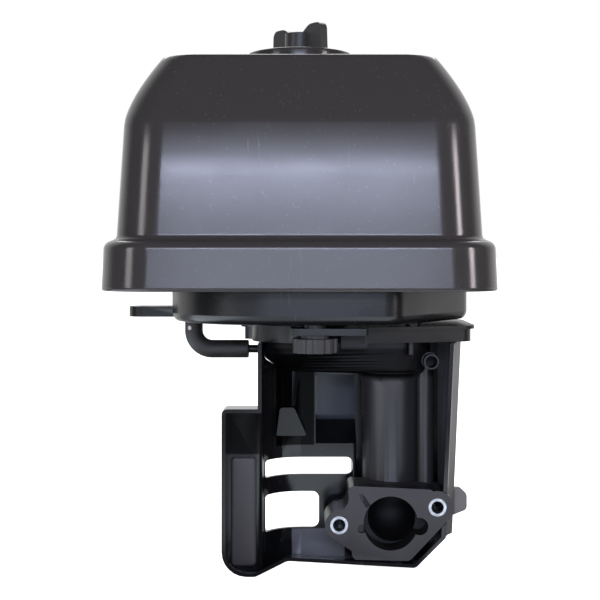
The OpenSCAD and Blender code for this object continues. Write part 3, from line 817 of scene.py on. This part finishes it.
def cut(piece: Piece, tool: Piece, operation: str = "DIFFERENCE") -> None:
    """Combine a piece with a tool body, which is used up.

    Args:
        piece: The piece that stays.
        tool: The body that is cut out or added.
        operation: A Boolean modifier's operation.
    """
    boolean = piece.modifiers.new("cut", "BOOLEAN")
    boolean.operation = operation
    boolean.solver = "EXACT"
    boolean.object = tool
    finish_modifiers(piece)
    bpy.data.objects.remove(tool, do_unlink=True)


def outward(piece: Piece) -> None:
    """Merge a mesh's doubles and turn its faces outwards.

    Args:
        piece: The piece.
    """
    edit_all(piece)
    bpy.ops.mesh.remove_doubles(threshold=DOUBLES)
    bpy.ops.mesh.normals_make_consistent(inside=False)
    bpy.ops.object.mode_set(mode="OBJECT")


def dress(piece: Piece, material: Material, body: Body, slot: Slot, *nodes: str) -> None:
    """Give a finished piece its material, its body and the nodes that it stands for.

    Args:
        piece: The finished piece.
        material: Its finish.
        body: The body that it rides on.
        slot: The record's slot for its finish, which is not used.
        *nodes: CAD nodes that it replaces.
    """
    piece.data.materials.clear()
    piece.data.materials.append(material)
    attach(piece, body.value)
    if nodes:
        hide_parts(*nodes)
    LOG.info("%s: %d faces on %s", piece.name, len(piece.data.polygons), body.value)


def paint(frame: dict, material: Material, *nodes: str) -> None:
    """Give CAD nodes whose shape is right their finish.

    Args:
        frame: The loaded frame.
        material: The finish.
        *nodes: Names of the CAD nodes.
    """
    for node in nodes:
        slots = frame["nodes"][node].data.materials
        slots.clear()
        slots.append(material)


def rounded_copy(frame: dict, node: str, name: str, edge: Edge) -> Piece:
    """Copy a CAD node's mesh and round its moulded edges.

    Args:
        frame: The loaded frame.
        node: The CAD node.
        name: Name of the new piece.
        edge: How its edges are rounded.

    Returns:
        The new piece.
    """
    source = frame["nodes"][node]
    piece = bpy.data.objects.new(name, source.data.copy())
    bpy.context.scene.collection.objects.link(piece)
    piece.data.name = name
    piece.matrix_world = source.matrix_world.copy()
    edit_all(settle(piece))
    bpy.ops.mesh.remove_doubles(threshold=CAD_DOUBLES)
    bpy.ops.mesh.dissolve_limited(angle_limit=math.radians(FLAT_DEGREES))
    bpy.ops.object.mode_set(mode="OBJECT")
    smooth(piece, edge.degrees)
    soften_edges(piece, edge, flat=True)
    return piece


class Ring(NamedTuple):
    """One level of a drawn-in shell: its height and its half sizes."""

    z: float
    x: float
    y: float


def draw_up(centre: Vector, was: Ring, now: Ring) -> None:
    """Extrude the selected edges from one ring to the next.

    Args:
        centre: Middle of the rings, in X and Y.
        was: The ring that the edges are at.
        now: The ring that they go to.
    """
    bpy.ops.mesh.extrude_edges_move(TRANSFORM_OT_translate={"value": (0.0, 0.0, now.z - was.z)})
    bpy.ops.transform.resize(
        value=(now.x / was.x, now.y / was.y, 1.0), center_override=(centre.x, centre.y, now.z)
    )


def raise_shell(
    name: str, centre: Vector, rings: Sequence[Ring], corner: float, steps: int
) -> Piece:
    """Extrude a rounded rectangle upwards through rings and close its top.

    Args:
        name: Name of the new piece.
        centre: Middle of the rings, in X and Y.
        rings: The levels from the open lower edge to the closed top.
        corner: Corner radius of the first ring.
        steps: Faces round each corner.

    Returns:
        The open-bottomed shell.
    """
    start_clean()
    first = rings[0]
    bpy.ops.mesh.primitive_plane_add(size=2.0, location=(centre.x, centre.y, first.z))
    piece = name_new(name)
    piece.scale = (first.x, first.y, 1.0)
    edit_all(settle(piece))
    bpy.ops.mesh.bevel(offset=corner, segments=steps, affect="VERTICES")
    bpy.ops.mesh.delete(type="ONLY_FACE")
    bpy.ops.mesh.select_all(action="SELECT")
    for was, now in zip(rings, rings[1:]):
        draw_up(centre, was, now)
    bpy.ops.mesh.edge_face_add()
    bpy.ops.mesh.select_all(action="SELECT")
    bpy.ops.mesh.normals_make_consistent(inside=False)
    bpy.ops.object.mode_set(mode="OBJECT")
    return piece


def turned_disc(
    name: str, centre: Vector, radius: float, low: float, high: float, sides: int
) -> Piece:
    """Add an upright cylinder between two heights.

    Args:
        name: Name of the new piece.
        centre: Its axis in X and Y.
        radius: Its radius.
        low: Its lower end.
        high: Its upper end.
        sides: Its number of sides.

    Returns:
        The cylinder.
    """
    start_clean()
    place = (centre.x, centre.y, (low + high) / 2)
    bpy.ops.mesh.primitive_cylinder_add(
        vertices=sides, radius=radius, depth=high - low, location=place
    )
    return settle(name_new(name))


# Sub-assemblies


@dataclass
class Cover:
    """Brimmed cover with its shoulder, drafted wall, bevelled crown and raised pad.

    The holds are levels, as shares of a wall's height, that keep its shading flat.
    """

    wall: float = 2.2 * MM
    corner: float = 28 * MM
    corner_steps: int = 14
    lip: float = 0.7 * MM
    lip_round: Pair = (0.35, 0.3)
    brim_h: float = 28 * MM
    brim_holds: tuple[float, ...] = (0.1, 0.5, 0.95)
    brow_drop: float = 0.5 * MM
    draft: float = 1.0 * MM
    shoulder_r: float = 5.0 * MM
    ledge: float = 0.2 * MM
    foot_r: float = 3.0 * MM
    arc_steps: int = 9
    wall_inset: float = 7.7 * MM
    wall_draft: float = 3.7 * MM
    wall_holds: Pair = (0.02, 0.5)
    crown_hold: Pair = (1.2 * MM, 0.08 * MM)
    crown_h: float = 38 * MM
    crown_side: float = 20 * MM
    crown_front: float = 17 * MM
    crown_steps: int = 14
    side_bend: float = 1.5
    front_bend: float = 1.1
    top_roll: tuple[Pair, ...] = (
        (0.45 * MM, 0.7 * MM), (0.7 * MM, 1.6 * MM), (0.8 * MM, 3.0 * MM)
    )
    pad_r: float = 30.5 * MM
    pad_h: float = 6 * MM
    pad_sunk: float = 1.5 * MM
    pad_edge: Edge = Edge(1.3 * MM, steps=4)
    pad_sides: int = 128
    hole_r: float = 4.5 * MM
    hole_below: float = 8 * MM
    hole_above: float = 5 * MM
    hole_sides: int = 64
    rib_t: float = 2.4 * MM
    rib_x: float = 34 * MM
    rib_reach: float = 45 * MM
    rib_low: float = 150.3 * MM
    rib_h: float = 50 * MM
    rib_tip: float = 3 * MM
    rib_seat: float = 0.7
    rib_lean: float = 0.9
    smooth_degrees: float = 38.0

    def insets(self, height: float) -> list[Triple]:
        """List the outer skin's levels.

        Args:
            height: Height of the flat top over the brim's lower edge.

        Returns:
            Heights with their insets along X and Y.
        """
        low_share, in_share = self.lip_round
        levels = [(0.0, self.lip), (low_share * self.lip, in_share * self.lip), (self.lip, 0.0)]
        brow = self.brim_h - self.shoulder_r - self.brow_drop
        levels += [(share * brow, share * self.draft) for share in self.brim_holds]
        hub = self.draft + self.shoulder_r
        turn = [math.radians(90.0 * step / self.arc_steps) for step in range(self.arc_steps + 1)]
        for angle in turn[:-1]:
            rise = self.shoulder_r * math.sin(angle)
            levels.append((brow + rise, hub - self.shoulder_r * math.cos(angle)))
        base = levels[-1][0] + self.ledge + self.foot_r * math.cos(turn[1])
        for angle in turn[1:]:
            inset = self.wall_inset - self.foot_r + self.foot_r * math.sin(angle)
            levels.append((base - self.foot_r * math.cos(angle), inset))
        rings = [(z, inset, inset) for z, inset in levels]
        crown = height - self.crown_h
        foot = levels[-1][0]
        for share in self.wall_holds:
            inset = self.wall_inset + share * self.wall_draft
            rings.append((foot + share * (crown - foot), inset, inset))
        full = self.wall_inset + self.wall_draft
        drop, less = self.crown_hold
        rings.append((crown - drop, full - less, full - less))
        for step in range(1, self.crown_steps + 1):
            share = step / self.crown_steps
            side = full + self.crown_side * share**self.side_bend
            front = full + self.crown_front * share**self.front_bend
            rings.append((crown + self.crown_h * share, side, front))
        for rise, extra in self.top_roll:
            side, front = full + self.crown_side + extra, full + self.crown_front + extra
            rings.append((height + rise, side, front))
        return rings

    def gusset(self, centre: Vector, x: float, side: int, half_depth: float) -> Piece:
        """Model one gusset, which tapers upwards along the inside of a wall.

        Args:
            centre: The cover's middle.
            x: The gusset's place along X from the middle.
            side: 1 for the back wall and -1 for the front wall.
            half_depth: Half the cover's depth at the brim.

        Returns:
            The gusset.
        """
        foot = half_depth - self.wall_inset - self.rib_seat * self.wall
        tip = foot - self.rib_lean * self.wall_draft
        middle = self.rib_low + self.rib_h / 2
        start_clean()
        bpy.ops.mesh.primitive_cube_add(size=1.0, location=(centre.x + x, centre.y, middle))
        rib = name_new("gusset_tool")
        rib.scale = (self.rib_t, self.rib_t, self.rib_h)
        settle(rib)
        for vertex in rib.data.vertices:
            upper = vertex.co.z > middle
            if (vertex.co.y - centre.y) * side > 0:
                reach = tip if upper else foot
            else:
                reach = tip - self.rib_tip if upper else self.rib_reach
            vertex.co.y = centre.y + side * reach
        return rib

    def build(self, finishes: Finishes) -> None:
        """Model the shell, its pad and its gussets.

        Args:
            finishes: The housing's materials.
        """
        low, high = (Vector(v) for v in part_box("cover"))
        centre = (low + high) / 2
        half = (high - low) / 2
        top = high.z - self.pad_h
        insets = self.insets(top - low.z - self.top_roll[-1][0])
        rings = [Ring(low.z + z, half.x - in_x, half.y - in_y) for z, in_x, in_y in insets]
        shell = raise_shell("cover_shell", centre, rings, self.corner, self.corner_steps)
        pad_low = top - self.pad_sunk
        pad = turned_disc("pad_tool", centre, self.pad_r, pad_low, high.z, self.pad_sides)
        soften_edges(pad, self.pad_edge)
        thicken(shell, self.wall)
        cut(shell, pad, "UNION")
        ends = (top - self.hole_below, high.z + self.hole_above)
        cut(shell, turned_disc("hole_tool", centre, self.hole_r, *ends, self.hole_sides))
        for side, x in ((1, -1), (1, 1), (-1, -1), (-1, 1)):
            cut(shell, self.gusset(centre, x * self.rib_x, side, half.y), "UNION")
        outward(shell)
        smooth(shell, self.smooth_degrees)
        dress(shell, finishes.of(COVER_PLASTIC), Body.COVER, Slot.SATIN, "cover")


@dataclass
class Moulding:
    """A CAD node that gets rounder edges, with the CAD nodes that go with it as they are."""

    node: str
    name: str
    finish: Finish
    body: Body = Body.ROOT
    slot: Slot = Slot.GLOSS
    edge: Edge = Edge(0.5 * MM)
    others: Painted = ()

    def build(self, frame: dict, finishes: Finishes) -> None:
        """Round the node's edges, and dress it and the others.

        Args:
            frame: The loaded frame.
            finishes: The housing's materials.
        """
        piece = rounded_copy(frame, self.node, self.name, self.edge)
        dress(piece, finishes.of(self.finish), self.body, self.slot, self.node)
        for finish, nodes in self.others:
            paint(frame, finishes.of(finish), *nodes)


@dataclass
class CoverKnob(Moulding):
    """Wing knob on the cover, with its insert and washer."""

    node: str = "cover_knob"
    name: str = "wing_knob"
    finish: Finish = KNOB_PLASTIC
    body: Body = Body.KNOB
    edge: Edge = Edge(0.9 * MM, steps=3)
    others: Painted = ((BRASS, ("knob_insert",)), (ZINC, ("knob_washer",)))


@dataclass
class BasePan(Moulding):
    """Base pan with its ear and drain nipple, and the fastenings in its floor."""

    node: str = "base_pan"
    name: str = "pan_moulding"
    finish: Finish = PAN_PLASTIC
    others: Painted = (
        (SEAL_RUBBER, ("pan_seal",)),
        (ZINC, ("cover_stud", "stud_nuts", "clamp_stud")),
        (BLACK_STEEL, ("pan_screws",)),
    )


@dataclass
class IntakeElbow(Moulding):
    """Intake elbow with its tray, flange and stud collars."""

    node: str = "intake_elbow"
    name: str = "elbow_moulding"
    finish: Finish = ELBOW_PLASTIC
    edge: Edge = Edge(0.45 * MM)
    others: Painted = ((ZINC, ("stud_collars",)),)


@dataclass
class CarbShield(Moulding):
    """Open shield round the carburettor, with its lever slots and screws."""

    node: str = "carb_shield"
    name: str = "shield_moulding"
    finish: Finish = SHIELD_PLASTIC
    edge: Edge = Edge(0.5 * MM, degrees=22.0)
    others: Painted = ((ZINC, ("shield_screws",)),)


@dataclass
class BreatherHose(Moulding):
    """Moulded rubber hose between the pan and the plenum bowl."""

    node: str = "breather_hose"
    name: str = "hose_tube"
    finish: Finish = HOSE_RUBBER
    slot: Slot = Slot.HOSE
    edge: Edge = Edge(0.7 * MM, steps=3)


@dataclass
class HandNut(Moulding):
    """Fluted hand nut under the pan, with its insert."""

    node: str = "clamp_nut"
    name: str = "fluted_nut"
    finish: Finish = KNOB_PLASTIC
    body: Body = Body.CLAMP_NUT
    others: Painted = ((BRASS, ("clamp_insert",)),)


@dataclass
class FilterElement(Moulding):
    """Pleated paper element between two cast end caps, with its pressed wing nut."""

    node: str = "element_wing_nut"
    name: str = "pressed_wing_nut"
    finish: Finish = ZINC
    body: Body = Body.WING_NUT
    slot: Slot = Slot.ZINC
    edge: Edge = Edge(0.4 * MM)
    others: Painted = (
        (PAPER, ("element_pleats",)),
        (CAP_RUBBER, ("element_top_cap", "element_bottom_cap")),
        (SEAL_RUBBER, ("element_seal",)),
        (ZINC, ("element_core", "element_washer")),
    )


@dataclass
class FoamSleeve:
    """Soft foam pre-filter round the element, glued along one upright seam."""

    wall: float = 5.0 * MM
    edge: Edge = Edge(2.2 * MM, steps=5, degrees=50.0)
    smooth_degrees: float = 60.0
    sides: int = 96
    rows: int = 24
    waist: float = 0.35 * MM
    seam_w: float = 3.0 * MM
    seam_deep: float = 1.1 * MM

    def skin(self, centre: Vector, radius: float, low: float, high: float) -> Piece:
        """Draw the outer skin upwards, ring by ring, slack between its ends.

        Args:
            centre: The sleeve's middle.
            radius: The radius at its ends.
            low: Height of the lower end.
            high: Height of the upper end.

        Returns:
            The open skin.
        """
        start_clean()
        place = (centre.x, centre.y, low)
        bpy.ops.mesh.primitive_circle_add(vertices=self.sides, radius=radius, location=place)
        piece = settle(name_new("foam_tube"))
        rings = []
        for row in range(self.rows + 1):
            share = row / self.rows
            slack = radius - self.waist * math.sin(math.pi * share)
            rings.append(Ring(low + share * (high - low), slack, slack))
        edit_all(piece)
        for was, now in zip(rings, rings[1:]):
            draw_up(centre, was, now)
        bpy.ops.object.mode_set(mode="OBJECT")
        return piece

    def sink_seam(self, piece: Piece, centre: Vector, radius: float) -> None:
        """Draw the outer skin in along the glued seam at the back.

        Args:
            piece: The sleeve.
            centre: Its middle.
            radius: Its outer radius.
        """
        for vertex in piece.data.vertices:
            arm = Vector((vertex.co.x - centre.x, vertex.co.y - centre.y, 0.0))
            if arm.y > 0.0 and arm.length > radius - self.wall / 2:
                depth = self.seam_deep * math.exp(-((arm.x / self.seam_w) ** 2))
                vertex.co -= arm.normalized() * depth

    def build(self, finishes: Finishes) -> None:
        """Model the sleeve as a soft tube that stands for its plain solid.

        Args:
            finishes: The housing's materials.
        """
        low, high = (Vector(v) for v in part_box("foam_sleeve"))
        centre = (low + high) / 2
        radius = (high.x - low.x) / 2
        sleeve = self.skin(centre, radius, low.z, high.z)
        outward(sleeve)
        thicken(sleeve, self.wall - self.waist)
        self.sink_seam(sleeve, centre, radius)
        soften_edges(sleeve, self.edge)
        smooth(sleeve, self.smooth_degrees)
        dress(sleeve, finishes.of(FOAM), Body.FOAM, Slot.FOAM, "foam_sleeve")


# Studio


@dataclass(frozen=True)
class Glow:
    """A bright region of the floor, as the gloss shows it."""

    low: Pair
    high: Pair
    strength: float
    soft: float

    def level(self, graph: Graph, place: Socket) -> Socket:
        """Give the strength inside the region and 0 outside it."""
        mask = graph.in_box(place, (*self.low, -1.0), (*self.high, 1.0), self.soft)
        return graph.math("MULTIPLY", mask, self.strength)


@dataclass(frozen=True)
class Lamp:
    """A rectangular soft lamp."""

    name: str
    place: Triple
    size: Pair
    watts: float
    colour: Colour

    def hang(self, aim: Vector) -> None:
        """Add the lamp to the scene.

        Args:
            aim: The point that it faces.
        """
        data = bpy.data.lights.new(self.name, "AREA")
        data.shape = "RECTANGLE"
        data.size, data.size_y = self.size
        data.energy = self.watts
        data.color = self.colour
        lamp = bpy.data.objects.new(self.name, data)
        lamp.location = self.place
        lamp.rotation_euler = (aim - Vector(self.place)).to_track_quat("-Z", "Y").to_euler()
        bpy.context.scene.collection.objects.link(lamp)


@dataclass
class Studio:
    """Camera, lamps, white background and floor of the photograph."""

    eye: Triple = (-50.8 * MM, -700 * MM, 153.2 * MM)
    sensor: float = 36.0
    clip_start: float = 0.01
    focal_px: float = 1250.0
    frame_px: float = 600.0
    horizon_px: float = 250.0
    aim: Triple = (-0.05, 0.03, 0.15)
    lamps: tuple[Lamp, ...] = (
        Lamp("front_softbox", (-0.05, -1.6, 0.46), (0.80, 0.66), 5.6, COOL),
        Lamp("front_band", (-0.05, -1.55, 0.525), (0.80, 0.06), 4.6, COOL),
        Lamp("front_low", (-0.05, -1.55, 0.23), (0.80, 0.12), 0.8, COOL),
        Lamp("left_strip", (-1.08, -0.78, 0.4), (0.3, 0.45), 2.2, (1.0, 0.96, 0.95)),
        Lamp("right_strip", (1.04, -0.70, 0.4), (0.2, 0.45), 4.5, (1.0, 0.90, 0.93)),
        Lamp("back_top", (-0.05, 1.0, 1.1), (1.2, 0.6), 8.0, WHITE),
    )
    backdrop: Pair = (0.05, 0.6)
    ambient: float = 0.45
    ambient_gloss: float = 0.06
    floor_size: float = 60.0
    floor_drop: float = 0.5 * MM
    floor_matt: Colour = (0.85, 0.85, 0.85)
    floor_gloss: Colour = (0.1, 0.1, 0.1)
    apron: tuple[Glow, ...] = (
        Glow((-0.80, -0.85), (-0.20, 0.15), 3.4, 0.05),
        Glow((-0.09, -0.45), (0.36, -0.10), 2.0, 0.04),
        Glow((-0.10, -0.80), (-0.02, -0.48), 2.0, 0.03),
        Glow((-0.50, -1.40), (0.30, -0.78), 1.0, 0.05),
        Glow((-0.24, -0.44), (-0.06, -0.08), 1.3, 0.04),
        Glow((0.25, -2.8), (1.8, -0.90), 1.1, 0.1),
    )
    apron_tint: Colour = (0.84, 0.92, 1.0)

    def camera(self) -> None:
        """Make a level camera whose frame is shifted down, as the photograph's is."""
        data = bpy.data.cameras.new("photo_camera")
        data.sensor_width = self.sensor
        data.lens = data.sensor_width * self.focal_px / self.frame_px
        data.clip_start = self.clip_start
        data.dof.use_dof = False
        data.shift_y = (self.horizon_px - self.frame_px / 2) / self.frame_px
        eye = bpy.data.objects.new("photo_camera", data)
        eye.location = self.eye
        eye.rotation_euler = (math.pi / 2, 0.0, 0.0)
        bpy.context.scene.collection.objects.link(eye)
        bpy.context.scene.camera = eye

    def white(self, graph: Graph, place: Socket) -> tuple[Socket, Socket]:
        """Find where the studio is white: to the camera, and to the gloss behind the housing.

        Args:
            graph: The world's or the floor's graph.
            place: The coordinates, whose Y tells what is behind.

        Returns:
            The test for glossy rays, and 1 where the studio is white.
        """
        path = graph.add("LightPath").outputs
        way = graph.feed(graph.add("SeparateXYZ"), Vector=place).outputs
        behind = graph.span(way["Y"], *self.backdrop)
        shown = graph.math("MULTIPLY", path["Is Glossy Ray"], behind)
        seen = graph.math("MAXIMUM", path["Is Camera Ray"], path["Is Transmission Ray"])
        return path["Is Glossy Ray"], graph.math("MAXIMUM", seen, shown)

    def world(self) -> None:
        """Light the scene softly from all round, with a white background behind the housing."""
        world = bpy.data.worlds.new("studio_world")
        bpy.context.scene.world = world
        world.use_nodes = True
        graph = Graph(world.node_tree)
        glossy, white = self.white(graph, graph.add("TexCoord").outputs["Generated"])
        spared = graph.math("MULTIPLY", glossy, self.ambient - self.ambient_gloss)
        around = graph.math("SUBTRACT", self.ambient, spared)
        strength = graph.math("MAXIMUM", white, around)
        back = graph.feed(graph.add("Background"), Color=(*WHITE, 1.0), Strength=strength)
        graph.feed(graph.add("OutputWorld"), Surface=back.outputs[0])

    def floor(self) -> None:
        """Lay a floor that the camera sees white and the gloss sees dark with bright regions."""
        low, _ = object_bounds()
        start_clean()
        middle = (0.0, 0.0, low.z - self.floor_drop)
        bpy.ops.mesh.primitive_plane_add(size=self.floor_size, location=middle)
        floor = settle(name_new("studio_floor"))
        material = bpy.data.materials.new("floor_white")
        material.use_nodes = True
        graph = Graph(material.node_tree)
        place = graph.add("TexCoord").outputs["Object"]
        glossy, white = self.white(graph, place)
        ahead: Socket | float = 0.0
        for glow in self.apron:
            ahead = graph.math("MAXIMUM", ahead, glow.level(graph, place))
        strength = graph.math("MAXIMUM", white, graph.math("MULTIPLY", glossy, ahead))
        tint = graph.blend(white, self.apron_tint, WHITE)
        shine = graph.feed(graph.add("Emission"), Color=tint, Strength=strength)
        pale = graph.blend(glossy, self.floor_matt, self.floor_gloss)
        matt = graph.feed(graph.add("BsdfDiffuse"), Color=pale)
        both = graph.add("AddShader")
        graph.put(both.inputs[0], matt.outputs[0])
        graph.put(both.inputs[1], shine.outputs[0])
        graph.feed(graph.add("OutputMaterial"), Surface=both.outputs[0])
        floor.data.materials.append(material)
        floor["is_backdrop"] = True

    def build(self) -> None:
        """Set up the whole studio."""
        bpy.context.scene.view_settings.view_transform = "Standard"
        self.camera()
        for lamp in self.lamps:
            lamp.hang(Vector(self.aim))
        self.world()
        self.floor()


def main() -> None:
    """Load the frame, build every sub-assembly and set up the studio."""
    logging.basicConfig(level=logging.INFO, format="%(message)s")
    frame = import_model()
    finishes = Finishes()
    Studio().build()
    Cover().build(finishes)
    for part in (CoverKnob, BasePan, IntakeElbow, CarbShield, BreatherHose, HandNut, FilterElement):
        part().build(frame, finishes)
    FoamSleeve().build(finishes)


if __name__ == "__main__":
    main()
